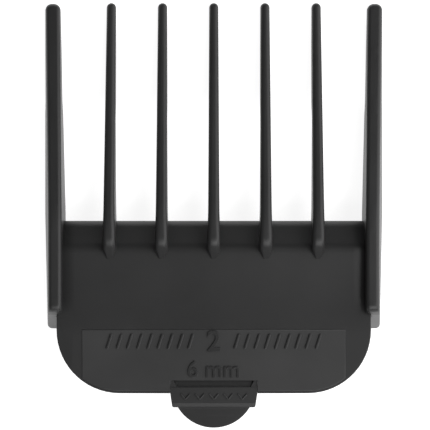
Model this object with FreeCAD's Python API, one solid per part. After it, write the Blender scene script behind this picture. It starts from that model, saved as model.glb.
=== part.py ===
import FreeCAD, Part
import math
import os

# Guard comb for a hair clipper, cutting length 6.35 mm.
# Frame: +X across the teeth, +Y towards the tooth tips, +Z towards the skin.
# The origin is the centre of the base of the overall box: the side rails and the tooth tips lie on Z = 0.

# Driving dimensions, millimetres
LENGTH = 63.2            # tooth tip to the end of the thumb tongue
CUT_LENGTH = 6.35        # crest of the teeth above the blade plane
CREST_Z = 9.6            # skin-side crest of the teeth
BLADE_Z = CREST_Z - CUT_LENGTH   # the plane that rests on the clipper blade

TOOTH_PITCH = 7.69
TOOTH_ROOT_W = 1.75
TOOTH_TIP_W = 1.38
OUTER_IN_X = 22.3        # inner face of an outer tooth beside the plate
OUTER_OUT_X = 24.28      # its outer face at the crest
OUTER_SPLAY = 0.76       # how far the inner face has moved outwards by the tip
OUTER_BASE_X = 25.4      # outer face at Z = 0, from the lip to the tips
OUTER_HEEL_X = 25.02     # outer face at Z = 0, at the heel end of the rails
CREST_ROUND = 0.42       # round along the crest edges
ROOT_SINK = 0.33         # how far a tooth's root runs down into the plate
ROOT_TURN_R = 2.2        # rounding where a crest turns down to its root
RIDGE_TURN_R = 0.8
RIDGE_FOOT_R = 0.5
TIP_BACK_R = 4.0         # bend in the back edge where a tooth comes to rest on Z = 0

TIP_Y = LENGTH / 2
OUTER_TIP_Y = TIP_Y - 0.1
OUTER_TIP_R = 0.92
LIP_Y = -1.1             # front edge of the plate, over the blade
CREST_START_Y = -4.3     # where a crest turns down to the plate
ROOT_END_Y = -6.6        # heel end of an inner tooth
RIDGE_TURN_Y = -14.2     # where the ridge of an outer tooth turns down
RIDGE_END_Y = -15.0
FOOT_END_Y = -17.3       # heel end of the side rails
HEEL_Y = -26.5           # heel edge of the plate
CREST_SLOPE = 0.2525     # fall of the crest per millimetre towards the tip
SLOPE_START_Y = -0.4
CREST_BEND_R = 16.0

PLATE_TOP = 7.7
PLATE_T = 1.5
PLATE_UNDER = PLATE_TOP - PLATE_T
PLATE_HALF_W = 23.18
PLATE_CORNER_R = 9.3
DISH_DEPTH = 0.4         # shallow valley across the plate behind the front wall
DISH_R = 25.0
PLATE_FRONT_Y = -5.7     # where the plate meets the rounding of the front wall
PANEL_Y = -17.1          # front edge of the marking panel
PANEL_HALF_W = 19.4
PANEL_T = 0.1
PANEL_INSET = 0.35
PANEL_GAP = 0.3          # between the panel and the cut-out for the tab

BAND_R = 1.8             # rounding from the plate into the front wall
BAND_ANGLE = 41.0        # slope of the front wall, degrees
BAND_T = 1.4             # thickness of the front wall
LIP_RUN = 0.45           # the last stretch before the lip is steeper
LIP_DROP = 1.0
LIP_BEND_R = 0.9
LIP_NOSE_R = 0.12

RAIL_IN_X = 22.75        # the blade's side faces meet this plane
RAIL_HEEL_R = 0.7
STOP_Y = 12.1            # the blade's front corners meet the nose here
STOP_END_Y = 16.0
STOP_IN_X = 22.6
STOP_TIP_R = 1.4         # rounding under the front end of the nose
STOP_EDGE_R = 0.5
STEP_Y = 14.3            # step in the back edge of the inner teeth, in front of the blade
STEP_END_Y = 16.5
STEP_Z = 1.3
STEP_TOP_R = 0.4
STEP_FOOT_R = 0.6
TIP_REST_Y = 24.5        # from here to the tips the back edges lie on Z = 0

RIB_W = 1.2
RIB_END_Y = -21.5
RIB_RAMP = 1.6           # run of the slope at a rib's heel end
RIB_RAMP_R = 1.0

GROOVE_Y = -24.6         # front edge of the living hinge
TAB_Y = -25.6            # front edge of the tab
TAB_END_Y = -28.2
TAB_HALF_W = 6.42
TAB_END_HALF_W = 6.12
TAB_CORNER_R = 0.3
TAB_STEP = 0.4           # run of the sloped step at the end of the tab
TAB_GAP = 0.1            # slit between the tab and the plate
HINGE_UNDER = 6.85       # underside of the web, between a notch below and the groove above
HINGE_T = 0.45
HINGE_HALF_W = 5.3
HINGE_END_TOP = 7.6      # top of the web's two ends, beside the groove
TONGUE_R = 6.2
TONGUE_TOP = 7.5
TONGUE_T = 1.3
TONGUE_EDGE_R = 0.25
LATCH_HALF_W = 5.0
LATCH_T = 1.2
LATCH_BOTTOM = 0.3
HOOK_HALF_W = 4.0
HOOK_REACH = 0.9
HOOK_TOP = 1.5
HOOK_NOSE_T = 0.3

MARK_T = 0.25            # height of the raised marking
NUMERAL_X = -0.9
NUMERAL_Y = -20.2
NUMERAL_H = 2.9
NUMERAL_W = 0.42         # width of the numeral's strokes
UNIT_Y = -24.2
UNIT_X = (-4.4, -1.2, 1.7)   # left edges of the digit and the two letters
DIGIT_H = 2.6
LETTER_H = 1.75
UNIT_W = 0.35
BARS = 9                 # bars on each side of the numeral
BAR_X = 3.4
BAR_PITCH = 1.5
BAR_LOW_Y = -19.9
BAR_HIGH_Y = -17.9
BAR_LEAN = 0.35
BAR_W = 0.4
CHEVRON_PITCH = 2.1
CHEVRON_HALF_W = 0.7
CHEVRON_TOP_Y = -26.6
CHEVRON_LOW_Y = -27.3
CHEVRON_W = 0.3

FAR = 60.0               # longer than the part, for cutting solids


def rounded_wire(corners, place):
    """Closed wire through corners (u, v, radius), each corner rounded by an arc of its radius."""
    starts, middles, ends = [], [], []
    count = len(corners)
    for i, (u, v, radius) in enumerate(corners):
        before = corners[i - 1]
        after = corners[(i + 1) % count]
        here = FreeCAD.Vector(u, v, 0)
        back = (FreeCAD.Vector(before[0], before[1], 0) - here).normalize()
        ahead = (FreeCAD.Vector(after[0], after[1], 0) - here).normalize()
        half = back.getAngle(ahead) / 2
        reach = radius / math.tan(half) if radius else 0
        bisector = (back + ahead).normalize() if radius else back
        starts.append(here + back * reach)
        ends.append(here + ahead * reach)
        middles.append(here + bisector * (radius / math.sin(half) - radius) if radius else here)
    edges = []
    for i in range(count):
        if corners[i][2]:
            edges.append(Part.Arc(place(starts[i]), place(middles[i]), place(ends[i])).toShape())
        nearby = ends[i].distanceToPoint(starts[(i + 1) % count])
        if nearby > 1e-6:
            edges.append(Part.LineSegment(place(ends[i]), place(starts[(i + 1) % count])).toShape())
    return Part.Wire(Part.__sortEdges__(edges))


def plan_solid(corners, z_low, z_high):
    """Solid from an outline (x, y, radius) seen from above."""
    wire = rounded_wire(corners, lambda p: FreeCAD.Vector(p.x, p.y, z_low))
    return Part.Face(wire).extrude(FreeCAD.Vector(0, 0, z_high - z_low))


def side_solid(corners, x_low, x_high):
    """Solid from an outline (y, z, radius) seen from the side."""
    wire = rounded_wire(corners, lambda p: FreeCAD.Vector(x_low, p.x, p.y))
    return Part.Face(wire).extrude(FreeCAD.Vector(x_high - x_low, 0, 0))


def block(x_low, x_high, y_low, y_high, z_low, z_high):
    size = (x_high - x_low, y_high - y_low, z_high - z_low)
    return Part.makeBox(*size, FreeCAD.Vector(x_low, y_low, z_low))


def mirrored(shape):
    return shape.mirror(FreeCAD.Vector(0, 0, 0), FreeCAD.Vector(1, 0, 0))


def crest_height(y):
    """Height of the straight crest lines at y, without the arc between them."""
    return CREST_Z - CREST_SLOPE * max(0.0, y - SLOPE_START_Y)


def round_tip(shape, tip_y, radius):
    """Round the two upright edges at the tip of a tooth."""
    edges = []
    for edge in shape.Edges:
        box = edge.BoundBox
        if box.YMin > tip_y - 0.01 and box.ZLength > 0.5:
            edges.append(edge)
    return shape.makeFillet(radius, edges)


def round_crest(shape, radius):
    """Round the long edges of the crest, which lie between the crest faces and the side walls."""
    crest = [f for f in shape.Faces if f.normalAt(0, 0).z > 0.5]
    edges = []
    for edge in shape.Edges:
        across = edge.BoundBox.XLength > 0.9 * TOOTH_TIP_W and edge.BoundBox.YLength < 0.01
        owners = [f for f in crest if any(e.isSame(edge) for e in f.Edges)]
        if len(owners) == 1 and not across:
            edges.append(edge)
    return shape.makeFillet(radius, edges)


def crest_profile(back_points, tail_points):
    """Side outline of a tooth: tail, crest, slope past the tip, then the back edge."""
    past = TIP_Y + 8
    crest = [
        (SLOPE_START_Y, CREST_Z, CREST_BEND_R),
        (past, crest_height(past), 0),
        (past, 0, 0),
    ]
    return tail_points + crest + back_points


def band_outline():
    """Side outline of the front wall: shoulder, straight slope, steeper lip, and the inner face."""
    slope = math.tan(math.radians(BAND_ANGLE))
    corner_y = PLATE_FRONT_Y + BAND_R * math.tan(math.radians(BAND_ANGLE / 2))
    bend_y = LIP_Y - LIP_RUN
    bend_z = PLATE_TOP - (bend_y - corner_y) * slope
    inner_sum = band_inner_sum()
    return [
        (LIP_Y, BLADE_Z, 0),
        (LIP_Y, bend_z - LIP_DROP, LIP_NOSE_R),
        (bend_y, bend_z, LIP_BEND_R),
        (corner_y, PLATE_TOP, BAND_R),
        (PLATE_FRONT_Y, PLATE_TOP, 0),
        (PLATE_FRONT_Y, PLATE_UNDER, 0),
        (inner_sum - PLATE_UNDER, PLATE_UNDER, 0),
        (inner_sum - BLADE_Z, BLADE_Z, 0),
    ]


def band_inner_sum():
    """The 45 degree inner face of the front wall is where y + z has this value."""
    corner_y = PLATE_FRONT_Y + BAND_R * math.tan(math.radians(BAND_ANGLE / 2))
    return corner_y + PLATE_TOP - BAND_T * math.sqrt(2)


def front_band():
    return side_solid(band_outline(), -OUTER_OUT_X, OUTER_OUT_X)


def plate_outline(inset=0.0):
    """Outline of the heel plate seen from above, before the outer teeth are cut from it."""
    wide = PLATE_HALF_W - inset
    heel = HEEL_Y + inset
    corner = PLATE_CORNER_R - inset
    return [
        (-wide, PLATE_FRONT_Y, 0), (-wide, heel, corner),
        (wide, heel, corner), (wide, PLATE_FRONT_Y, 0),
    ]


def heel_plate():
    plate = plan_solid(plate_outline(), PLATE_UNDER, PLATE_TOP)
    middle = (PLATE_FRONT_Y + PANEL_Y) / 2
    dish = [
        (PLATE_FRONT_Y, PLATE_TOP, 0), (middle, PLATE_TOP - DISH_DEPTH, DISH_R),
        (PANEL_Y, PLATE_TOP, 0), (middle, PLATE_TOP + 1, 0),
    ]
    plate = plate.cut(side_solid(dish, -FAR, FAR))
    notch = block(-TAB_HALF_W - TAB_GAP, TAB_HALF_W + TAB_GAP, HEEL_Y - 1, GROOVE_Y, 0, CREST_Z)
    return plate.cut(notch)


def size_panel():
    pad = plan_solid(plate_outline(PANEL_INSET), PLATE_TOP, PLATE_TOP + PANEL_T)
    pad = pad.common(block(-PANEL_HALF_W, PANEL_HALF_W, -FAR, PANEL_Y, 0, CREST_Z))
    half = TAB_HALF_W + TAB_GAP + PANEL_GAP
    return pad.cut(block(-half, half, -FAR, GROOVE_Y + PANEL_GAP, 0, CREST_Z))


def inner_tooth(x):
    """Slim fin: rounded crest and tip, with a step in its back edge in front of the blade."""
    tail = [(ROOT_END_Y - 0.4, PLATE_TOP - ROOT_SINK, 0), (CREST_START_Y, CREST_Z, ROOT_TURN_R)]
    back = [
        (TIP_REST_Y, 0, TIP_BACK_R), (STEP_END_Y, STEP_Z, STEP_FOOT_R), (STEP_Y, BLADE_Z, STEP_TOP_R),
        (LIP_Y, BLADE_Z, 0),
    ]
    fin = side_solid(crest_profile(back, tail), -TOOTH_ROOT_W, TOOTH_ROOT_W)
    root, tip = TOOTH_ROOT_W / 2, TOOTH_TIP_W / 2
    plan = [(-root, ROOT_END_Y - 1, 0), (-tip, TIP_Y, 0), (tip, TIP_Y, 0), (root, ROOT_END_Y - 1, 0)]
    fin = fin.common(plan_solid(plan, -1, CREST_Z + 1))
    fin = round_tip(fin, TIP_Y, tip * 0.93)
    fin = round_crest(fin, CREST_ROUND)
    return fin.translated(FreeCAD.Vector(x, 0, 0))


def outer_wall_section(y, inside, base_out):
    """Four-cornered section of an outer wall at y: its outer face leans out below the crest."""
    corners = [(inside, 0), (inside, CREST_Z), (OUTER_OUT_X, CREST_Z), (base_out, 0)]
    points = [FreeCAD.Vector(x, y, z) for x, z in corners]
    return Part.makePolygon(points + points[:1])


def outer_wall():
    """Long wall on the right that the outer tooth, rail and front stop are cut from."""
    sections = [
        outer_wall_section(FOOT_END_Y, OUTER_IN_X, OUTER_HEEL_X),
        outer_wall_section(0, OUTER_IN_X, OUTER_BASE_X),
        outer_wall_section(OUTER_TIP_Y, OUTER_IN_X + OUTER_SPLAY, OUTER_BASE_X),
    ]
    return Part.makeLoft(sections, True, True)


def ramp_y(z):
    """The foot at the heel end of a side wall: its steep face at height z."""
    run = (RIDGE_END_Y - FOOT_END_Y) / PLATE_TOP
    return FOOT_END_Y + run * z


def outer_tooth():
    """Thick fin with a long ridge beside the plate; its back edge is on the rail and front stop."""
    tail = [
        (ramp_y(BLADE_Z), BLADE_Z, 0), (RIDGE_END_Y, PLATE_TOP, RIDGE_FOOT_R),
        (RIDGE_TURN_Y, CREST_Z, RIDGE_TURN_R),
    ]
    back = [
        (TIP_REST_Y, 0, TIP_BACK_R), (STOP_END_Y, STEP_Z - 0.3, 0), (STOP_END_Y, BLADE_Z, 0),
    ]
    fin = outer_wall().common(side_solid(crest_profile(back, tail), 0, FAR))
    fin = round_tip(fin, OUTER_TIP_Y, OUTER_TIP_R)
    fin = round_crest(fin, CREST_ROUND)
    return fin.cut(block(0, PLATE_HALF_W, -FAR, RIDGE_END_Y, 0, PLATE_TOP))


def side_rail():
    """Deep wall beside the blade, below the blade plane, ending in the steep foot."""
    outline = [
        (FOOT_END_Y, 0, 0), (ramp_y(BLADE_Z), BLADE_Z, 0),
        (STOP_Y, BLADE_Z, 0), (STOP_Y, 0, 0),
    ]
    rail = outer_wall().common(side_solid(outline, RAIL_IN_X, FAR))
    corner = [e for e in rail.Edges if e.BoundBox.YMax < ramp_y(BLADE_Z) + 0.01
              and e.BoundBox.ZLength > 1 and e.BoundBox.XMin > RAIL_IN_X + 0.5]
    return rail.makeFillet(RAIL_HEEL_R, corner)


def front_stop():
    """Rounded nose at the front end of a rail, which meets the front corner of the blade."""
    outline = [
        (STOP_Y, 0, 0), (STOP_Y, BLADE_Z, 0), (STOP_END_Y, BLADE_Z, 0), (STOP_END_Y, 0, STOP_TIP_R),
    ]
    nose = outer_wall().common(side_solid(outline, STOP_IN_X, FAR))
    corner = [e for e in nose.Edges if e.BoundBox.YMax < STOP_Y + 0.01
              and e.BoundBox.ZLength > 1 and e.BoundBox.XMax < RAIL_IN_X]
    return nose.makeFillet(STOP_EDGE_R, corner)


def support_rib(x):
    """Rib between the underside of the plate and the blade plane."""
    inner_sum = band_inner_sum()
    outline = [
        (inner_sum - PLATE_UNDER, PLATE_UNDER, 0), (inner_sum - BLADE_Z, BLADE_Z, 0),
        (RIB_END_Y + RIB_RAMP, BLADE_Z, RIB_RAMP_R), (RIB_END_Y, PLATE_UNDER, 0),
    ]
    return side_solid(outline, x - RIB_W / 2, x + RIB_W / 2)


def hinge_web():
    """Living hinge: thin in the groove, thicker at its two ends."""
    half = TAB_HALF_W
    web = block(-half, half, TAB_Y, GROOVE_Y, HINGE_UNDER, HINGE_END_TOP)
    groove = block(-HINGE_HALF_W, HINGE_HALF_W, TAB_Y - 1, GROOVE_Y + 1, HINGE_UNDER + HINGE_T, CREST_Z)
    return web.cut(groove)


def tab_base():
    """Tab below the hinge; its heel edge is a sloped step down to the tongue."""
    plan = [
        (-TAB_HALF_W, TAB_Y, 0), (-TAB_HALF_W, HEEL_Y, 0),
        (-TAB_END_HALF_W, TAB_END_Y - TAB_STEP, TAB_CORNER_R),
        (TAB_END_HALF_W, TAB_END_Y - TAB_STEP, TAB_CORNER_R),
        (TAB_HALF_W, HEEL_Y, 0), (TAB_HALF_W, TAB_Y, 0),
    ]
    tab = plan_solid(plan, PLATE_UNDER, PLATE_TOP)
    step = [
        (TAB_END_Y, PLATE_TOP, 0), (TAB_END_Y - TAB_STEP, TONGUE_TOP, 0),
        (TAB_END_Y - 2, TONGUE_TOP, 0), (TAB_END_Y - 2, PLATE_TOP + 1, 0), (TAB_END_Y, PLATE_TOP + 1, 0),
    ]
    return tab.cut(side_solid(step, -FAR, FAR))


def tab_tongue():
    """Round tongue that the thumb lifts."""
    centre = FreeCAD.Vector(0, -TIP_Y + TONGUE_R, TONGUE_TOP - TONGUE_T)
    disc = Part.makeCylinder(TONGUE_R, TONGUE_T, centre)
    top_edges = [e for e in disc.Edges if e.BoundBox.ZMin > TONGUE_TOP - 0.01]
    disc = disc.makeFillet(TONGUE_EDGE_R, top_edges)
    above_base = block(-FAR, FAR, TAB_END_Y - TAB_STEP, FAR, 0, CREST_Z)
    return disc.cut(above_base)


def latch_wall():
    return block(-LATCH_HALF_W, LATCH_HALF_W, TAB_Y - LATCH_T, TAB_Y, LATCH_BOTTOM, PLATE_UNDER)


def latch_hook():
    """Catch with a sloped underside, so that it rides over the heel of the blade."""
    outline = [
        (TAB_Y, LATCH_BOTTOM, 0), (TAB_Y, HOOK_TOP, 0),
        (TAB_Y + HOOK_REACH, HOOK_TOP, 0), (TAB_Y + HOOK_REACH, HOOK_TOP - HOOK_NOSE_T, 0),
    ]
    return side_solid(outline, -HOOK_HALF_W, HOOK_HALF_W)


def stroke(x0, y0, x1, y1, width, z):
    """Raised straight stroke with round ends, standing on height z."""
    angle = math.degrees(math.atan2(y1 - y0, x1 - x0))
    long = math.hypot(x1 - x0, y1 - y0)
    r = width / 2
    bar = block(0, long, -r, r, z, z + MARK_T)
    for end in (0, long):
        bar = bar.fuse(Part.makeCylinder(r, MARK_T, FreeCAD.Vector(end, 0, z)))
    bar = bar.removeSplitter()
    bar.rotate(FreeCAD.Vector(0, 0, 0), FreeCAD.Vector(0, 0, 1), angle)
    return bar.translated(FreeCAD.Vector(x0, y0, 0))


def arc_stroke(x, y, radius, start, sweep, width, z):
    """Raised stroke along an arc; start and sweep are in degrees."""
    inner = radius - width / 2
    outer = radius + width / 2
    low = FreeCAD.Vector(x, y, z)
    up = FreeCAD.Vector(0, 0, 1)
    ring = Part.makeCylinder(outer, MARK_T, low, up, sweep)
    ring = ring.cut(Part.makeCylinder(inner, MARK_T, low, up, sweep))
    ring.rotate(low, up, start)
    return ring


def one_solid(pieces):
    joined = pieces[0]
    for piece in pieces[1:]:
        joined = joined.fuse(piece)
    return joined.removeSplitter()


def numeral_two(x, y, height, width, z):
    """The digit 2: a bow, a slanted stroke and a foot; x, y is its lower left corner."""
    r = height * 0.27
    top = y + height - width / 2
    bow = arc_stroke(x + r, top - r, r, -35, 195, width, z)
    end_x = x + r + r * math.cos(math.radians(-35))
    end_y = top - r + r * math.sin(math.radians(-35))
    slant = stroke(end_x, end_y, x, y + width / 2, width, z)
    foot = stroke(x, y + width / 2, x + 2.1 * r, y + width / 2, width, z)
    return one_solid([bow, slant, foot])


def numeral_six(x, y, height, width, z):
    """The digit 6: a round bowl and a curved stem; x, y is its lower left corner."""
    r = height * 0.28
    bowl = arc_stroke(x + r, y + r + width / 2, r, 0, 360, width, z)
    stem = stroke(x + 0.03 * r, y + r + width / 2, x + 1.1 * r, y + height - width / 2, width, z)
    return one_solid([bowl, stem])


def letter_m(x, y, height, width, z):
    """Small letter m: three stems under two arches; returns its one solid."""
    r = height * 0.26
    parts = [stroke(x, y + width / 2, x, y + height - width / 2, width, z)]
    for i in (0, 1):
        middle = x + r * (2 * i + 1)
        arch_y = y + height - width / 2 - r
        parts.append(arc_stroke(middle, arch_y, r, 0, 180, width, z))
        parts.append(stroke(middle + r, arch_y, middle + r, y + width / 2, width, z))
    return one_solid(parts)


def size_numeral():
    return numeral_two(NUMERAL_X, NUMERAL_Y, NUMERAL_H, NUMERAL_W, PLATE_TOP + PANEL_T)


def size_unit():
    z = PLATE_TOP + PANEL_T
    pieces = [
        numeral_six(UNIT_X[0], UNIT_Y, DIGIT_H, UNIT_W, z),
        letter_m(UNIT_X[1], UNIT_Y, LETTER_H, UNIT_W, z),
        letter_m(UNIT_X[2], UNIT_Y, LETTER_H, UNIT_W, z),
    ]
    return Part.makeCompound(pieces)


def size_bars():
    """Two groups of slanted bars, one on each side of the numeral."""
    z = PLATE_TOP + PANEL_T
    bars = []
    for side in (-1, 1):
        for i in range(BARS):
            x = side * (BAR_X + BAR_PITCH * i)
            bars.append(stroke(x - BAR_LEAN, BAR_LOW_Y, x + BAR_LEAN, BAR_HIGH_Y, BAR_W, z))
    return Part.makeCompound(bars)


def tab_chevrons():
    """Row of small arrowheads on the tab that point towards the tongue."""
    chevrons = []
    for i in range(-2, 3):
        x = CHEVRON_PITCH * i
        left = stroke(x - CHEVRON_HALF_W, CHEVRON_TOP_Y, x, CHEVRON_LOW_Y, CHEVRON_W, PLATE_TOP)
        right = stroke(x, CHEVRON_LOW_Y, x + CHEVRON_HALF_W, CHEVRON_TOP_Y, CHEVRON_W, PLATE_TOP)
        chevrons.append(one_solid([left, right]))
    return Part.makeCompound(chevrons)


def build():
    outer = outer_tooth()
    band = front_band().cut(outer).cut(mirrored(outer))
    plate = heel_plate().cut(outer).cut(mirrored(outer))
    pieces = {"front_band": band, "heel_plate": plate, "size_panel": size_panel()}
    for i in range(5):
        x = (i - 2) * TOOTH_PITCH
        pieces[f"inner_tooth_{i + 1}"] = inner_tooth(x).cut(band).cut(plate)
        pieces[f"support_rib_{i + 1}"] = support_rib(x)
    right_parts = {
        "outer_tooth": outer,
        "side_rail": side_rail(),
        "front_stop": front_stop(),
    }
    for name, shape in right_parts.items():
        pieces[name + "_right"] = shape
        pieces[name + "_left"] = mirrored(shape)
    pieces["hinge_web"] = hinge_web()
    pieces["tab_base"] = tab_base()
    pieces["tab_tongue"] = tab_tongue()
    pieces["latch_wall"] = latch_wall()
    pieces["latch_hook"] = latch_hook()
    pieces["size_numeral"] = size_numeral()
    pieces["size_unit"] = size_unit()
    pieces["size_bars"] = size_bars()
    pieces["tab_chevrons"] = tab_chevrons()
    return pieces


os.makedirs("parts", exist_ok=True)
for name, shape in build().items():
    shape.exportStep(f"parts/{name}.step")
    box = shape.BoundBox
    print(f"{name:20s} solids {len(shape.Solids)} valid {shape.isValid()} volume {shape.Volume:8.2f}"
          f"  x {box.XMin:7.2f} {box.XMax:7.2f}  y {box.YMin:7.2f} {box.YMax:7.2f}"
          f"  z {box.ZMin:6.2f} {box.ZMax:6.2f}")
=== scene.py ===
import math

import bmesh
import bpy
from mathutils import Matrix, Vector


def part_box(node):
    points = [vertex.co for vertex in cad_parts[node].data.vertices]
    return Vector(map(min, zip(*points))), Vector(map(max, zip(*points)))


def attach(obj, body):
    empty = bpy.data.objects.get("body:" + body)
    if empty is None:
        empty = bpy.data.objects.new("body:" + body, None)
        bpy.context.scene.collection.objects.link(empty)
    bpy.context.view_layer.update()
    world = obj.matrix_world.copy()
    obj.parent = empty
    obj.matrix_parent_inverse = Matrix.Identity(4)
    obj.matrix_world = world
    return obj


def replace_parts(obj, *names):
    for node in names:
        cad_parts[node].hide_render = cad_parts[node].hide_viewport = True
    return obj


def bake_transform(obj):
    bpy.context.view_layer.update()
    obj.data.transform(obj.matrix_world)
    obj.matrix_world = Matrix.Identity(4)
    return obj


# Looks of the clipper guard comb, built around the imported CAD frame.
# Lengths in this script are millimetres in the CAD frame; meshes are scaled to metres as they are made.

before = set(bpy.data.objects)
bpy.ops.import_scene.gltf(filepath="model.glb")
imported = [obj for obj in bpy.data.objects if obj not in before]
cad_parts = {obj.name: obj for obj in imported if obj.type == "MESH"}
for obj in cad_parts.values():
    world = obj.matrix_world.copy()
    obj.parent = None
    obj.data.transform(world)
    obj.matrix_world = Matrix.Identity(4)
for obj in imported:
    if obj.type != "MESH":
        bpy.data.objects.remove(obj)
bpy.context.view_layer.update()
MM = 0.001


def box_mm(node):
    low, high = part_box(node)
    return low / MM, high / MM


# Places read from the frame
plate_low, plate_high = box_mm("heel_plate")
band_low, band_high = box_mm("front_band")
tooth_low, tooth_high = box_mm("inner_tooth_3")
outer_low, outer_high = box_mm("outer_tooth_right")
rail_low = box_mm("side_rail_right")[0]
stop_high = box_mm("front_stop_right")[1]
panel_high = box_mm("size_panel")[1]
web_low, web_high = box_mm("hinge_web")
base_low, base_high = box_mm("tab_base")
tongue_low, tongue_high = box_mm("tab_tongue")
latch_low, latch_high = box_mm("latch_wall")
hook_low, hook_high = box_mm("latch_hook")
TOOTH_NODES = [f"inner_tooth_{i}" for i in range(1, 6)]
RIB_NODES = [f"support_rib_{i}" for i in range(1, 6)]

PLATE_TOP = plate_high.z
PLATE_UNDER = plate_low.z
LIP_Y = band_high.y
BLADE_Z = band_low.z
CREST_Z = tooth_high.z

# Plate and front wall; here and below, outlines and levels are the CAD part's and some rounds are softer
PLATE_CORNER_R = 9.3
DISH_DEPTH = 0.40
DISH_FOOT_R = 20.0   # where the dish starts at the marking panel
DISH_R = 50.0
BAND_R = 1.8
BAND_T = 1.4
BAND_ANGLE = 41.0
BAND_INNER_R = 1.2
BAND_SEAT_R = 0.25
LIP_RUN = 0.45
LIP_DROP = 1.0
LIP_BEND_R = 1.2
ROLL_W = 1.9         # strip of the plate beside each ridge that rolls down
ROLL_DEPTH = 0.3
ROLL_FADE = 3.0
PANEL_EDGE = 0.35    # from the edge of the plate to the edge of the panel
PANEL_SINK = 0.3     # how far the panel reaches into the plate
RIB_SINK = 0.25      # how far a rib reaches into the plate and the front wall

# Teeth and side walls
SLOPE_START_Y = -0.4
CREST_SLOPE = 0.2525
CREST_BEND_R = 16.0
CREST_START_Y = -4.3
CREST_TURN_R = 2.6
STEP_Y = 14.3
STEP_END_Y = 16.5
STEP_Z = 1.3
TIP_REST_Y = 24.5
TIP_REST_R = 9.0
TOOTH_TIP_HALF = 0.69
TOOTH_FLARE = 0.1    # how much wider a tooth gets where it meets the plate
TOOTH_NOSE_R = 0.69
OUTER_IN_X = outer_low.x
OUTER_OUT_X = 24.28
OUTER_SPLAY = 0.76
OUTER_HEEL_X = 25.02
OUTER_NOSE_R = 0.95
OUTER_HEEL_R = 0.7
RIDGE_TURN_Y = -14.2
RIDGE_END_Y = -15.0
RIDGE_END_R = 0.9

# Release tab and its hinge
SLIT = 0.02          # between the tab and the plate
TAB_SINK = 0.15      # how far the latch wall reaches into the tab
TAB_END_IN = 0.3     # how much narrower the tab is at its step than at the plate
STEP_RUN = 0.3       # the steep part of the step down to the tongue
STEP_SLOPE_RUN = 0.8
TONGUE_DIP = 0.1
GROOVE_X = 5.3       # half the length of the groove beside the tab
GROOVE_SPREAD = 0.6  # how much longer it is beside the plate
GROOVE_LEFT = 0.22   # thickness of the web beside the plate
GROOVE_RISE = 0.2
GROOVE_GRIP = 0.1    # how far the web reaches into the plate and the tab

# Raised marking
MARK_H = 0.2
NUMERAL_SIZE = 4.3
NUMERAL_Y = -20.25
NUMERAL_BOLD = 0.02
UNIT_SIZE = 3.4
UNIT_Y = -24.1
BARS = 9
BAR_START_X = 3.4
BAR_PITCH = 1.5
BAR_LEAN = 0.35
BAR_LOW_Y = -19.95
BAR_HIGH_Y = -17.75
BAR_W = 0.42
CHEVRON_PITCH = 2.1
CHEVRON_Y = -27.0
CHEVRON_HALF_W = 0.68
CHEVRON_RISE = 0.42
CHEVRON_DROP = 0.38
CHEVRON_R = 0.16
CHEVRON_W = 0.26
CHEVRON_H = 0.16

# Rounds of the moulded edges
CREST_R = 0.62
OUTER_CREST_R = 0.6
EDGE_R = 0.14
LIP_R = 0.12
TOOTH_FOOT_R = 0.18
OUTER_FOOT_R = 0.2
PANEL_EDGE_R = 0.09
TIGHT = 0.25         # size of the edge rounds beside the slit, as a share of the usual ones
HOLD = 0.04          # flat border inside a rounded edge, which keeps its shading off the flat face
ARC_STEPS = 6
LAYER_SCALE = 10.0   # millimetres of height between the two halves of an unshaped shell

# Looks
BLACK = (0.022, 0.022, 0.0222)
PANEL_BLACK = (0.040, 0.040, 0.0402)
WORLD_STRENGTH = 0.18
FLOOR_GLOW = 0.85
FLOOR_DROP = 0.00005
LENS = 191.5
CAMERA_X = 0.00018
CAMERA_Y = -0.00023
CAMERA_ABOVE_CREST = 0.335


# ---------------------------------------------------------------- outlines and profiles

def corner_arc(before, corner, after, radius, count):
    """Points of the arc of that radius in the corner, from the side of before to the side of after."""
    here = Vector(corner)
    back = (Vector(before) - here).normalized()
    ahead = (Vector(after) - here).normalized()
    half = back.angle(ahead) / 2
    centre = here + (back + ahead).normalized() * radius / math.sin(half)
    arm = here + back * radius / math.tan(half) - centre
    end = here + ahead * radius / math.tan(half) - centre
    turn = math.pi - 2 * half
    if arm.x * end.y - arm.y * end.x < 0:
        turn = -turn
    points = []
    for i in range(count + 1):
        angle = turn * i / count
        c, s = math.cos(angle), math.sin(angle)
        points.append((centre.x + arm.x * c - arm.y * s, centre.y + arm.x * s + arm.y * c))
    return points


def rounded_path(corners, degrees=8):
    """Open line through corners (u, v, radius), with an arc in each corner that has a radius."""
    points = [tuple(corners[0][:2])]
    for before, corner, after in zip(corners, corners[1:], corners[2:]):
        if corner[2] == 0:
            points.append(tuple(corner[:2]))
            continue
        bend = (Vector(before[:2]) - Vector(corner[:2])).angle(Vector(after[:2]) - Vector(corner[:2]))
        count = max(2, math.ceil(math.degrees(math.pi - bend) / degrees))
        points += corner_arc(before[:2], corner[:2], after[:2], corner[2], count)
    points.append(tuple(corners[-1][:2]))
    return points


def rounded_outline(corners, degrees=8):
    """Closed outline through corners (u, v, radius)."""
    wrapped = [corners[-1]] + list(corners) + [corners[0]]
    return rounded_path(wrapped, degrees)[1:-1]


def ring(corners, count=ARC_STEPS):
    """Closed section with the same number of points for any corners: every corner is an arc."""
    points = []
    total = len(corners)
    for i, (u, v, radius) in enumerate(corners):
        before = corners[i - 1][:2]
        after = corners[(i + 1) % total][:2]
        points += corner_arc(before, (u, v), after, radius, count)
    return points


def along(points, y):
    """Height of a profile, a list of (y, z) with rising y, at y."""
    if y <= points[0][0]:
        return points[0][1]
    for (y0, z0), (y1, z1) in zip(points, points[1:]):
        if y <= y1:
            return z0 + (z1 - z0) * (y - y0) / (y1 - y0) if y1 > y0 else z1
    return points[-1][1]


# ---------------------------------------------------------------- meshes

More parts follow.
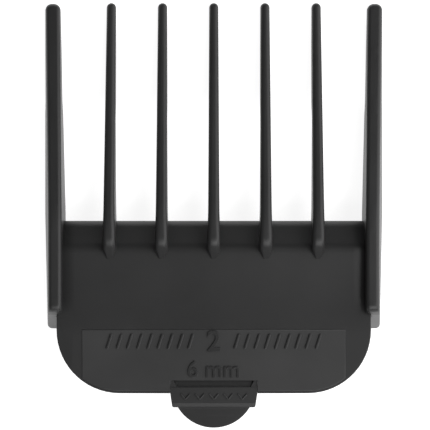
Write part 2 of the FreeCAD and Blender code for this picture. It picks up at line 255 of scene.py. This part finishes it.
def new_object(name, bm, smooth_angle=35, even=True):
    """Object from a mesh in millimetres; even=True spreads the shading of its flat faces over its rounds."""
    bmesh.ops.remove_doubles(bm, verts=bm.verts, dist=1e-5)
    bmesh.ops.recalc_face_normals(bm, faces=bm.faces)
    bmesh.ops.scale(bm, vec=(MM, MM, MM), verts=bm.verts)
    mesh = bpy.data.meshes.new(name)
    bm.to_mesh(mesh)
    bm.free()
    mesh.shade_smooth()
    mesh.set_sharp_from_angle(angle=math.radians(smooth_angle))
    obj = bpy.data.objects.new(name, mesh)
    bpy.context.scene.collection.objects.link(obj)
    if even:
        weighted = obj.modifiers.new("even_shading", "WEIGHTED_NORMAL")
        weighted.keep_sharp = True
        weighted.weight = 90
    return obj


def add_loft(bm, rings):
    """Closed solid through rings of 3-D points that all have the same count."""
    rows = [[bm.verts.new(p) for p in points] for points in rings]
    count = len(rows[0])
    for low, high in zip(rows, rows[1:]):
        for i in range(count):
            j = (i + 1) % count
            bm.faces.new((low[i], low[j], high[j], high[i]))
    bm.faces.new(rows[0][::-1])
    bm.faces.new(rows[-1])


def outward_normals(outline):
    """Outward direction at each point of a counter-clockwise plan outline."""
    normals = []
    total = len(outline)
    for i in range(total):
        before = Vector(outline[i - 1])
        after = Vector(outline[(i + 1) % total])
        along_edge = (after - before).normalized()
        normals.append(Vector((along_edge.y, -along_edge.x)))
    return normals


def add_shell(bm, outline, low_of_y, top_of_y, low_r, top_r, stations,
              cuts=(), sink=None, tight=None):
    """Closed shell over a counter-clockwise plan outline, between two surfaces that depend on y alone.

    It is cut across at each station in y and along at each place in cuts; sink(x, y) lowers its top,
    and where tight(x, y) is true the edges are nearly sharp.
    """
    normals = outward_normals(outline)
    levels = [(low_r + HOLD, 0.0)]
    for i in range(ARC_STEPS + 1):
        angle = math.pi / 2 * i / ARC_STEPS
        levels.append((low_r * (1 - math.sin(angle)), low_r * (1 - math.cos(angle)) / LAYER_SCALE))
    for i in range(ARC_STEPS + 1):
        angle = math.pi / 2 * i / ARC_STEPS
        levels.append((top_r * (1 - math.cos(angle)), 1 - top_r * (1 - math.sin(angle)) / LAYER_SCALE))
    levels.append((top_r + HOLD, 1.0))
    made = bmesh.new()
    rings = []
    for inset, layer in levels:
        points = []
        for p, n in zip(outline, normals):
            scale = TIGHT if tight and tight(*p) else 1.0
            level = layer * scale if layer < 0.5 else 1 - (1 - layer) * scale
            points.append((p[0] - n.x * inset * scale, p[1] - n.y * inset * scale, level))
        rings.append(points)
    add_loft(made, rings)
    for y in stations:
        geometry = made.verts[:] + made.edges[:] + made.faces[:]
        bmesh.ops.bisect_plane(made, geom=geometry, plane_co=(0, y, 0), plane_no=(0, 1, 0), dist=1e-5)
    for x in cuts:
        geometry = made.verts[:] + made.edges[:] + made.faces[:]
        bmesh.ops.bisect_plane(made, geom=geometry, plane_co=(x, 0, 0), plane_no=(1, 0, 0), dist=1e-5)
    for vert in made.verts:
        x, y, layer = vert.co
        if layer < 0.5:
            vert.co.z = low_of_y(y) + layer * LAYER_SCALE
        else:
            vert.co.z = top_of_y(y) - (1 - layer) * LAYER_SCALE
            if sink:
                vert.co.z -= sink(x, y)
    join_into(bm, made)


def join_into(bm, other):
    """Moves the other mesh into bm."""
    mesh = bpy.data.meshes.new("part")
    other.to_mesh(mesh)
    other.free()
    bm.from_mesh(mesh)
    bpy.data.meshes.remove(mesh)


def prism(name, outline, low_x, high_x, bevel):
    """Solid between two places in x, from a closed outline in (y, z); its edges are rounded."""
    points = rounded_outline(outline)
    bm = bmesh.new()
    add_loft(bm, [[(x, u, v) for u, v in points] for x in (low_x, high_x)])
    obj = new_object(name, bm)
    add_bevel(obj, bevel)
    return obj


def add_bevel(obj, width):
    """Rounds an object's edges, before any other modifier."""
    bevel = obj.modifiers.new("moulded_edge", "BEVEL")
    bevel.width = width * MM
    bevel.segments = 3
    bevel.limit_method = "ANGLE"
    bevel.angle_limit = math.radians(38)
    bevel.harden_normals = True
    obj.modifiers.move(len(obj.modifiers) - 1, 0)


# ---------------------------------------------------------------- profiles shared by the pieces

# Front wall: a short shoulder from the plate, a straight slope, and a steeper lip
BAND_CORNER_Y = plate_high.y + BAND_R * math.tan(math.radians(BAND_ANGLE / 2))
BAND_BEND_Y = LIP_Y - LIP_RUN
BAND_BEND_Z = PLATE_TOP - (BAND_BEND_Y - BAND_CORNER_Y) * math.tan(math.radians(BAND_ANGLE))
NOSE_Z = BAND_BEND_Z - LIP_DROP
DISH_Y = (plate_high.y + panel_high.y) / 2
TOP_PROFILE = rounded_path([
    (plate_low.y - 1, PLATE_TOP, 0),
    (panel_high.y, PLATE_TOP, DISH_FOOT_R),
    (DISH_Y, PLATE_TOP - DISH_DEPTH, DISH_R),
    (BAND_CORNER_Y, PLATE_TOP, BAND_R),
    (BAND_BEND_Y, BAND_BEND_Z, LIP_BEND_R),
    (LIP_Y, NOSE_Z, 0),
], 1.5)
BAND_INNER_SUM = BAND_CORNER_Y + PLATE_TOP - BAND_T * math.sqrt(2)
LOW_PROFILE = rounded_path([
    (plate_low.y - 1, PLATE_UNDER, 0),
    (BAND_INNER_SUM - PLATE_UNDER, PLATE_UNDER, BAND_INNER_R),
    (BAND_INNER_SUM - BLADE_Z, BLADE_Z, BAND_SEAT_R),
    (LIP_Y, BLADE_Z, 0),
], 6)


def top_of_plate(y):
    return along(TOP_PROFILE, y)


def under_of_plate(y):
    return along(LOW_PROFILE, y)


def crest_path(tip_y, tail):
    """Crest line of a tooth from its tail to its rounded tip."""
    end_z = CREST_Z - CREST_SLOPE * (tip_y - SLOPE_START_Y)
    return rounded_path(tail + [(SLOPE_START_Y, CREST_Z, CREST_BEND_R), (tip_y, end_z, 0)], 2)


def nose(distance, radius):
    """How far a rounded end has come in, at a distance from its tip."""
    if distance >= radius:
        return 0.0
    return radius - math.sqrt(max(0.0, radius ** 2 - (radius - distance) ** 2))


def stations_between(low, high, step, *profiles):
    """Places along y: an even step, and every point of the profiles."""
    count = math.ceil((high - low) / step)
    places = {round(low + (high - low) * i / count, 4) for i in range(count + 1)}
    for profile in profiles:
        places |= {round(y, 4) for y, _ in profile if low < y < high}
    return sorted(places)


def smooth_step(value):
    t = min(max(value, 0), 1)
    return t * t * (3 - 2 * t)


def nose_stations(tip_y, radius):
    """Places along y in a rounded end, closer together towards its tip."""
    return [tip_y - radius * (1 - math.cos(math.pi / 2 * i / 8)) for i in range(9)]


# ---------------------------------------------------------------- pieces of the comb

def beside_slit(x, y):
    """Whether a place in plan is next to the slit round the tab."""
    return abs(x) < web_high.x + 0.2 and y > plate_low.y - 0.1 and y < web_high.y + 0.4


def sink_beside_ridge(x, y):
    """The plate rolls down a little towards the ridges; it is level again past their heel ends."""
    roll = max(0.0, abs(x) - (OUTER_IN_X - ROLL_W)) / ROLL_W
    fade = smooth_step((y - RIDGE_END_Y) / ROLL_FADE)
    return ROLL_DEPTH * min(roll, 1.2) ** 2 * fade


def make_plate():
    """Heel plate and front wall in one shell, as they are moulded."""
    notch_x = web_high.x + SLIT
    wide = plate_high.x
    corner = EDGE_R + HOLD + 0.02
    notch_r = TIGHT * corner
    outline = rounded_outline([
        (-wide, LIP_Y, corner), (-wide, plate_low.y, PLATE_CORNER_R),
        (-notch_x, plate_low.y, notch_r), (-notch_x, web_high.y, notch_r),
        (notch_x, web_high.y, notch_r), (notch_x, plate_low.y, notch_r),
        (wide, plate_low.y, PLATE_CORNER_R), (wide, LIP_Y, corner),
    ], 6)
    stations = stations_between(panel_high.y - 0.8, LIP_Y, 0.3)[:-1]
    stations += [RIDGE_END_Y + 0.5 * i for i in range(7)]
    cuts = [side * (OUTER_IN_X - ROLL_W * (1 - i / 8)) for side in (-1, 1) for i in range(11)]
    bm = bmesh.new()
    add_shell(bm, outline, under_of_plate, top_of_plate, LIP_R, EDGE_R, sorted(stations),
              cuts, sink_beside_ridge, beside_slit)
    plate = new_object("plate_shell", bm, even=False)
    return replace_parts(plate, "heel_plate", "front_band")


def make_panel():
    """Raised marking panel; its edge is sunk a little into the plate."""
    half = panel_high.x
    heel = plate_low.y + PANEL_EDGE
    corner = PLATE_CORNER_R - PANEL_EDGE
    wide = plate_high.x - PANEL_EDGE
    centre_x = wide - corner
    corner_y = heel + corner
    rise = math.sqrt(corner ** 2 - (half - centre_x) ** 2)
    arc = []
    start = math.atan2(-rise, half - centre_x)
    for i in range(15):
        angle = start + (-math.pi / 2 - start) * i / 14
        arc.append((centre_x + corner * math.cos(angle), corner_y + corner * math.sin(angle)))
    notch_x = web_high.x + SLIT + 0.01
    notch_y = web_high.y + 0.01
    right = arc + [(notch_x, heel), (notch_x, notch_y)]
    left = [(-x, y) for x, y in right]
    outline = [(-half, panel_high.y)] + left + right[::-1] + [(half, panel_high.y)]
    stations = stations_between(heel, panel_high.y, 1.0)[1:-1]
    bm = bmesh.new()
    add_shell(bm, outline, lambda y: PLATE_TOP - PANEL_SINK, lambda y: panel_high.z,
              0.02, PANEL_EDGE_R, stations, tight=beside_slit)
    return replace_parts(new_object("marking_panel", bm, even=False), "size_panel")


def tooth_half_width(y):
    """Half the width of an inner tooth: it tapers to the tip and flares where it meets the plate."""
    root = (tooth_high.x - tooth_low.x) / 2
    t = (y - tooth_low.y) / (tooth_high.y - tooth_low.y)
    taper = (TOOTH_TIP_HALF - root) * min(max(t, 0), 1)
    return root + taper + TOOTH_FLARE * smooth_step((1.0 - y) / 5)


def make_tooth(index):
    """One inner tooth: fin with rounded crest, nose and root, and the step that clears the blade."""
    node = TOOTH_NODES[index]
    low, high = box_mm(node)
    x = (low.x + high.x) / 2
    tail = [(low.y - 0.5, PLATE_TOP - 0.42, 0), (CREST_START_Y, CREST_Z, CREST_TURN_R)]
    crest = crest_path(high.y + 0.5, tail)
    back = rounded_path([
        (LIP_Y - 0.4, BLADE_Z, 0), (STEP_Y, BLADE_Z, 0.8), (STEP_END_Y, STEP_Z, 1.5),
        (TIP_REST_Y, 0, TIP_REST_R), (high.y, 0, 0),
    ], 5)
    stations = stations_between(low.y + 0.02, high.y, 1.2, crest, back)
    stations = [y for y in stations if y < high.y - TOOTH_NOSE_R]
    stations += sorted(nose_stations(high.y, TOOTH_NOSE_R))
    root_r = tooth_half_width(low.y)
    rings = []
    for y in stations:
        away = high.y - y
        half = tooth_half_width(y) - nose(away, TOOTH_NOSE_R) - 0.75 * nose(y - low.y, root_r)
        half = max(half, 0.06)
        if y < LIP_Y - 0.2:
            foot = top_of_plate(y) - 0.25
        else:
            foot = max(along(back, y), 0) + nose(away, 0.45)
        top = along(crest, y) - nose(away, 0.55)
        top = max(top, foot + 0.2)
        above = top - foot if y > LIP_Y else top - top_of_plate(y)
        crest_r = min(CREST_R, 0.9 * half, 0.45 * (top - foot), max(0.7 * above, 0.05))
        foot_r = min(TOOTH_FOOT_R, 0.5 * half, 0.3 * (top - foot))
        section = ring([
            (x - half, foot, foot_r), (x - half, top, crest_r),
            (x + half, top, crest_r), (x + half, foot, foot_r),
        ])
        rings.append([(u, y, v) for u, v in section])
    bm = bmesh.new()
    add_loft(bm, rings)
    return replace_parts(new_object(f"tooth_{index + 1}", bm), node)


def outer_face_x(y, z):
    """Outer face of a side wall: it leans out below the crest, less towards the heel."""
    t = min(max((y - rail_low.y) / (0 - rail_low.y), 0), 1)
    base = OUTER_HEEL_X + (outer_high.x - OUTER_HEEL_X) * t
    return OUTER_OUT_X + (base - OUTER_OUT_X) * (CREST_Z - z) / CREST_Z


def inner_face_x(y):
    """Inner face of a side wall: it splays out along the teeth and rounds off at the ridge's end."""
    if y < RIDGE_END_Y + RIDGE_END_R:
        t = min(max((RIDGE_END_Y + RIDGE_END_R - y) / RIDGE_END_R, 0), 1)
        return OUTER_IN_X + (plate_high.x - 0.05 - OUTER_IN_X) * (1 - math.sqrt(1 - t * t))
    return OUTER_IN_X + OUTER_SPLAY * max(0.0, y) / outer_high.y


def make_outer_wall(side, label):
    """Outer tooth, side rail and front stop in one wall; side is 1 on the right and -1 on the left."""
    heel_y = rail_low.y
    tail = [
        (heel_y, 0.3, 0), (RIDGE_END_Y + 0.1, PLATE_TOP + 0.3, 0.9),
        (RIDGE_TURN_Y, CREST_Z, 1.3),
    ]
    crest = crest_path(outer_high.y + 0.5, tail)
    back = rounded_path([
        (heel_y, 0, 0), (stop_high.y, 0, 1.3), (stop_high.y + 0.01, STEP_Z - 0.3, 0.9),
        (TIP_REST_Y, 0, TIP_REST_R), (outer_high.y, 0, 0),
    ], 5)
    heel_places = [heel_y + OUTER_HEEL_R * (1 - math.cos(math.pi / 2 * i / 6)) for i in range(7)]
    stations = stations_between(heel_y + OUTER_HEEL_R, outer_high.y, 1.0, crest, back)
    stations += [RIDGE_END_Y + 0.15 * i for i in range(-8, 9)]
    stations = [y for y in stations if heel_y + OUTER_HEEL_R < y < outer_high.y - OUTER_NOSE_R]
    stations = sorted(set(heel_places + stations + nose_stations(outer_high.y, OUTER_NOSE_R)))
    rings = []
    for y in stations:
        away = outer_high.y - y
        foot = max(along(back, y), 0) + nose(away, 0.5)
        top = max(along(crest, y) - nose(away, 0.7), foot + 0.25)
        nose_in = nose(away, OUTER_NOSE_R)
        inner = inner_face_x(y) + nose_in
        heel_in = nose(y - heel_y, OUTER_HEEL_R)
        outer_top = outer_face_x(y, top) - nose_in - heel_in
        outer_foot = outer_face_x(y, foot) - nose_in - heel_in
        outer_top = max(outer_top, inner + 0.12)
        outer_foot = max(outer_foot, inner + 0.12)
        width = outer_top - inner
        crest_r = min(OUTER_CREST_R, 0.45 * width, 0.45 * (top - foot))
        foot_r = min(OUTER_FOOT_R, 0.3 * width, 0.3 * (top - foot))
        section = ring([
            (inner, foot, foot_r), (inner, top, crest_r),
            (outer_top, top, crest_r), (outer_foot, foot, foot_r),
        ])
        rings.append([(side * u, y, v) for u, v in section])
    bm = bmesh.new()
    add_loft(bm, rings)
    wall = new_object(f"outer_wall_{label}", bm)
    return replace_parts(wall, f"outer_tooth_{label}", f"side_rail_{label}", f"front_stop_{label}")


def make_rib(index):
    """One rib behind the plate, from the blade plane up to the front wall and the plate."""
    node = RIB_NODES[index]
    low, high = box_mm(node)
    front = BAND_INNER_SUM + RIB_SINK
    top = PLATE_UNDER + RIB_SINK
    outline = [
        (front - PLATE_UNDER, top, 0), (front - BLADE_Z, BLADE_Z, 0),
        (low.y + 1.6, BLADE_Z, 1.2), (low.y, PLATE_UNDER, 0), (low.y, top, 0),
    ]
    rib = prism(f"rib_{index + 1}", outline, low.x, high.x, 0.16)
    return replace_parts(rib, node)


def tab_outline():
    """Plan outline of the tab and its round tongue, counter-clockwise from the left of the hinge."""
    reach = tongue_high.y - tongue_low.y
    radius = (tongue_high.x ** 2 + reach ** 2) / (2 * reach)
    centre_y = tongue_low.y + radius
    start_y = base_low.y
    half = math.sqrt(radius ** 2 - (centre_y - start_y) ** 2)
    start = math.atan2(start_y - centre_y, -half)
    end = math.atan2(start_y - centre_y, half)
    arc = []
    for i in range(41):
        angle = start + (end - start) * i / 40
        arc.append((radius * math.cos(angle), centre_y + radius * math.sin(angle)))
    end_half = base_high.x - TAB_END_IN
    left = rounded_path([
        (-base_high.x, base_high.y, 0), (-base_high.x, plate_low.y, 0.6),
        (-end_half, base_low.y, 0.3), arc[0] + (0,),
    ])
    right = [(-x, y) for x, y in reversed(left)]
    return left[:-1] + arc + right[1:]


def make_tab():
    """Tab with its sloped step and the round thumb tongue."""
    foot_y = tongue_high.y - EDGE_R
    foot_z = tongue_high.z - TONGUE_DIP
    top = rounded_path([
        (tongue_low.y, tongue_high.z, 0), (foot_y, foot_z, 0.05),
        (foot_y + STEP_RUN, foot_z + 0.2, 0.06),
        (foot_y + STEP_SLOPE_RUN, base_high.z, 0.2), (base_high.y, base_high.z, 0),
    ], 3)
    under = rounded_path([
        (tongue_low.y, tongue_low.z, 0), (base_low.y + 0.1, tongue_low.z, 0.2),
        (base_low.y + 0.5, base_low.z, 0.2), (base_high.y, base_low.z, 0),
    ])
    stations = stations_between(tongue_low.y, base_high.y, 0.5, top, under)[1:-1]
    bm = bmesh.new()
    add_shell(bm, tab_outline(), lambda y: along(under, y), lambda y: along(top, y),
              LIP_R, EDGE_R, stations, tight=beside_slit)
    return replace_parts(new_object("release_tab", bm), "tab_base", "tab_tongue")


def make_latch():
    """Wall behind the tab with the catch for the heel of the blade."""
    top = latch_high.z + TAB_SINK
    wall = prism("latch_wall_piece", [
        (latch_low.y + 0.25, latch_low.z, 0.3), (latch_high.y, latch_low.z, 0),
        (latch_high.y, top, 0), (latch_low.y, top, 0),
    ], latch_low.x, latch_high.x, 0.15)
    hook = prism("latch_hook_piece", [
        (hook_low.y - 0.2, hook_low.z, 0), (hook_low.y + 0.15, hook_low.z, 0),
        (hook_high.y, hook_high.z - 0.3, 0.1), (hook_high.y, hook_high.z, 0.08),
        (hook_low.y - 0.2, hook_high.z, 0),
    ], hook_low.x, hook_high.x, 0.1)
    return [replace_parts(wall, "latch_wall"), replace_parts(hook, "latch_hook")]


def make_hinge():
    """Thin web of the living hinge between the comb and the tab, thicker at its two ends."""
    rows = 13
    rings = []
    for i in range(rows):
        t = i / (rows - 1)
        y = web_high.y + GROOVE_GRIP + (web_low.y - web_high.y - 2 * GROOVE_GRIP) * t
        end_x = GROOVE_X + GROOVE_SPREAD * (1 - t)
        xs = [end_x * j / 8 for j in range(9)] + [end_x + 0.1, web_high.x - 0.04, web_high.x]
        thin = web_low.z + GROOVE_LEFT + GROOVE_RISE * t
        heights = [thin] * 9 + [web_high.z] * 3
        right = list(zip(xs, heights))
        across = [(-x, z) for x, z in reversed(right[1:])] + right
        under = [(x, y, web_low.z) for x, _ in reversed(across)]
        rings.append(under + [(x, y, z) for x, z in across])
    bm = bmesh.new()
    add_loft(bm, rings)
    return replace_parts(new_object("hinge_strip", bm, even=False), "hinge_web")


def text_piece(name, text, size, y, bold=0.0):
    """Raised generic figures in the built-in font, as a mesh."""
    curve = bpy.data.curves.new(name, "FONT")
    curve.body = text
    curve.size = size * MM
    curve.extrude = MARK_H / 2 * MM
    curve.bevel_depth = 0.035 * MM
    curve.bevel_resolution = 2
    curve.offset = bold * MM
    curve.align_x = "CENTER"
    curve.align_y = "BOTTOM_BASELINE"
    maker = bpy.data.objects.new(name, curve)
    mesh = bpy.data.meshes.new_from_object(maker)
    bpy.data.objects.remove(maker)
    mesh.name = name
    obj = bpy.data.objects.new(name, mesh)
    bpy.context.scene.collection.objects.link(obj)
    mesh.transform(Matrix.Translation(Vector((0, y, panel_high.z + MARK_H / 2)) * MM))
    return obj


def add_strip(bm, path, width, z, height):
    """Raised strip with round ends and rounded top edges along a plan path, its foot sunk a little."""
    half = width / 2
    lengths = [0.0]
    for before, after in zip(path, path[1:]):
        lengths.append(lengths[-1] + math.dist(before, after))
    rings = []
    for i, point in enumerate(path):
        before, after = path[max(i - 1, 0)], path[min(i + 1, len(path) - 1)]
        run = (Vector(after) - Vector(before)).normalized()
        side = Vector((run.y, -run.x))
        away = min(lengths[i], lengths[-1] - lengths[i])
        reach = max(half - nose(away, half), 0.02)
        edge = min(0.07, 0.6 * reach)
        section = [(reach, -0.1), (reach, height - edge)]
        section += [(reach - 0.3 * edge, height - 0.3 * edge), (reach - edge, height)]
        section += [(-u, v) for u, v in reversed(section)]
        rings.append([(point[0] + side.x * u, point[1] + side.y * u, z + v) for u, v in section])
    add_loft(bm, rings)


def strip_path(corners, width):
    """Plan path through corners (x, y, radius) with close points at its two round ends."""
    points = rounded_path(corners, 10)
    ends = [width / 2 * (1 - math.cos(math.pi / 2 * i / 5)) for i in range(6)]
    first = (Vector(points[1]) - Vector(points[0])).normalized()
    last = (Vector(points[-2]) - Vector(points[-1])).normalized()
    start = [tuple(Vector(points[0]) + first * step) for step in ends]
    end = [tuple(Vector(points[-1]) + last * step) for step in reversed(ends)]
    return start + points[1:-1] + end


def make_marks():
    """Generic size marking: the size number, the length in millimetres and plain bars."""
    number = text_piece("mark_size_number", "2", NUMERAL_SIZE, NUMERAL_Y, NUMERAL_BOLD)
    unit = text_piece("mark_length", "6 mm", UNIT_SIZE, UNIT_Y)
    bars = bmesh.new()
    for side in (-1, 1):
        for i in range(BARS):
            x = side * (BAR_START_X + BAR_PITCH * i)
            ends = [(x - BAR_LEAN, BAR_LOW_Y, 0), (x + BAR_LEAN, BAR_HIGH_Y, 0)]
            add_strip(bars, strip_path(ends, BAR_W), BAR_W, panel_high.z, MARK_H)
    bars = new_object("mark_bars", bars, 50)
    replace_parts(number, "size_numeral")
    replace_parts(unit, "size_unit")
    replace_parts(bars, "size_bars")
    return number, unit, bars


def make_chevrons():
    """Row of plain chevrons that show where the thumb lifts."""
    bm = bmesh.new()
    for i in range(-2, 3):
        x = CHEVRON_PITCH * i
        corners = [
            (x - CHEVRON_HALF_W, CHEVRON_Y + CHEVRON_RISE, 0),
            (x, CHEVRON_Y - CHEVRON_DROP, CHEVRON_R),
            (x + CHEVRON_HALF_W, CHEVRON_Y + CHEVRON_RISE, 0),
        ]
        add_strip(bm, strip_path(corners, CHEVRON_W), CHEVRON_W, base_high.z, CHEVRON_H)
    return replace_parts(new_object("mark_chevrons", bm, 50), "tab_chevrons")


# ---------------------------------------------------------------- materials

def plastic(name, colour, roughness, grain, wear):
    """Moulded black plastic: fine spark-eroded grain, faint flow shading, rubbed edges."""
    material = bpy.data.materials.new(name)
    material.use_nodes = True
    nodes = material.node_tree.nodes
    links = material.node_tree.links
    nodes.clear()
    output = nodes.new("ShaderNodeOutputMaterial")
    shader = nodes.new("ShaderNodeBsdfPrincipled")
    links.new(shader.outputs["BSDF"], output.inputs["Surface"])
    place = nodes.new("ShaderNodeTexCoord")

    flow = nodes.new("ShaderNodeTexNoise")
    flow.inputs["Scale"].default_value = 90.0
    flow.inputs["Detail"].default_value = 3.0
    links.new(place.outputs["Object"], flow.inputs["Vector"])
    tint = nodes.new("ShaderNodeValToRGB")
    tint.color_ramp.elements[0].position = 0.3
    tint.color_ramp.elements[1].position = 0.75
    tint.color_ramp.elements[0].color = (*[c * 0.88 for c in colour], 1)
    tint.color_ramp.elements[1].color = (*[c * 1.12 for c in colour], 1)
    links.new(flow.outputs["Fac"], tint.inputs["Fac"])

    shape = nodes.new("ShaderNodeNewGeometry")
    rubbed = nodes.new("ShaderNodeMapRange")
    rubbed.inputs["From Min"].default_value = 0.53
    rubbed.inputs["From Max"].default_value = 0.62
    links.new(shape.outputs["Pointiness"], rubbed.inputs["Value"])
    worn = nodes.new("ShaderNodeMix")
    worn.data_type = "RGBA"
    worn.inputs["B"].default_value = (*[c * wear for c in colour], 1)
    links.new(rubbed.outputs["Result"], worn.inputs["Factor"])
    links.new(tint.outputs["Color"], worn.inputs["A"])
    links.new(worn.outputs["Result"], shader.inputs["Base Color"])

    fine = nodes.new("ShaderNodeTexNoise")
    fine.inputs["Scale"].default_value = 5200.0
    fine.inputs["Detail"].default_value = 2.0
    links.new(place.outputs["Object"], fine.inputs["Vector"])
    patchy = nodes.new("ShaderNodeMapRange")
    patchy.inputs["To Min"].default_value = roughness - 0.05
    patchy.inputs["To Max"].default_value = roughness + 0.07
    links.new(flow.outputs["Fac"], patchy.inputs["Value"])
    links.new(patchy.outputs["Result"], shader.inputs["Roughness"])

    bump = nodes.new("ShaderNodeBump")
    bump.inputs["Strength"].default_value = grain
    bump.inputs["Distance"].default_value = 0.00002
    links.new(fine.outputs["Fac"], bump.inputs["Height"])
    links.new(bump.outputs["Normal"], shader.inputs["Normal"])
    shader.inputs["IOR"].default_value = 1.49
    return material


def floor_material():
    material = bpy.data.materials.new("floor_white")
    material.use_nodes = True
    shader = material.node_tree.nodes["Principled BSDF"]
    shader.inputs["Base Color"].default_value = (0.8, 0.8, 0.8, 1)
    shader.inputs["Roughness"].default_value = 0.9
    shader.inputs["Emission Color"].default_value = (1, 1, 1, 1)
    shader.inputs["Emission Strength"].default_value = FLOOR_GLOW
    return material


def paint(obj, material):
    obj.data.materials.clear()
    obj.data.materials.append(material)


# ---------------------------------------------------------------- stage, light and camera

def make_floor():
    """Plain white floor just under the object."""
    bm = bmesh.new()
    bmesh.ops.create_grid(bm, x_segments=8, y_segments=8, size=2.0)
    mesh = bpy.data.meshes.new("floor")
    bm.to_mesh(mesh)
    bm.free()
    floor = bpy.data.objects.new("floor", mesh)
    floor.location.z = -FLOOR_DROP
    bpy.context.scene.collection.objects.link(floor)
    floor.data.materials.append(floor_material())


def area_light(name, place, size, power):
    """Square light that faces the object."""
    light = bpy.data.lights.new(name, "AREA")
    light.shape = "SQUARE"
    light.size = size
    light.energy = power
    obj = bpy.data.objects.new(name, light)
    obj.location = place
    obj.rotation_euler = (-Vector(place)).to_track_quat("-Z", "Y").to_euler()
    bpy.context.scene.collection.objects.link(obj)


def make_light():
    world = bpy.data.worlds.new("studio")
    world.use_nodes = True
    background = world.node_tree.nodes["Background"]
    background.inputs["Color"].default_value = (1, 1, 1, 1)
    background.inputs["Strength"].default_value = WORLD_STRENGTH
    bpy.context.scene.world = world
    area_light("softbox_right", (0.42, 0.0, 0.30), 0.8, 3.2)
    area_light("softbox_heel", (0.10, -0.36, 0.38), 0.25, 0.9)


def make_camera():
    """Looks straight down on the skin side."""
    camera = bpy.data.cameras.new("camera")
    camera.sensor_width = 36.0
    camera.lens = LENS
    obj = bpy.data.objects.new("camera", camera)
    obj.location = (CAMERA_X, CAMERA_Y, CREST_Z * MM + CAMERA_ABOVE_CREST)
    bpy.context.scene.collection.objects.link(obj)
    bpy.context.scene.camera = obj


# ---------------------------------------------------------------- assembly

body_plastic = plastic("comb_plastic_look", BLACK, 0.42, 0.25, 1.15)
panel_plastic = plastic("panel_plastic_look", PANEL_BLACK, 0.38, 0.2, 1.15)
mark_plastic = plastic("raised_marking_look", BLACK, 0.38, 0.1, 1.2)

comb_pieces = [make_plate()]
comb_pieces += [make_tooth(i) for i in range(len(TOOTH_NODES))]
comb_pieces += [make_rib(i) for i in range(len(RIB_NODES))]
comb_pieces += [make_outer_wall(1, "right"), make_outer_wall(-1, "left")]
tab_pieces = [make_tab()] + make_latch()
for piece in comb_pieces + tab_pieces:
    paint(piece, body_plastic)

panel = make_panel()
paint(panel, panel_plastic)
comb_pieces.append(panel)

chevrons = make_chevrons()
marks = list(make_marks())
for piece in marks + [chevrons]:
    paint(piece, mark_plastic)
comb_pieces += marks
tab_pieces.append(chevrons)

for piece in comb_pieces:
    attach(piece, "comb")
for piece in tab_pieces:
    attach(piece, "release_tab")

hinge = make_hinge()
paint(hinge, body_plastic)
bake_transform(hinge)

make_floor()
make_light()
make_camera()
bpy.context.scene.view_settings.view_transform = "Standard"
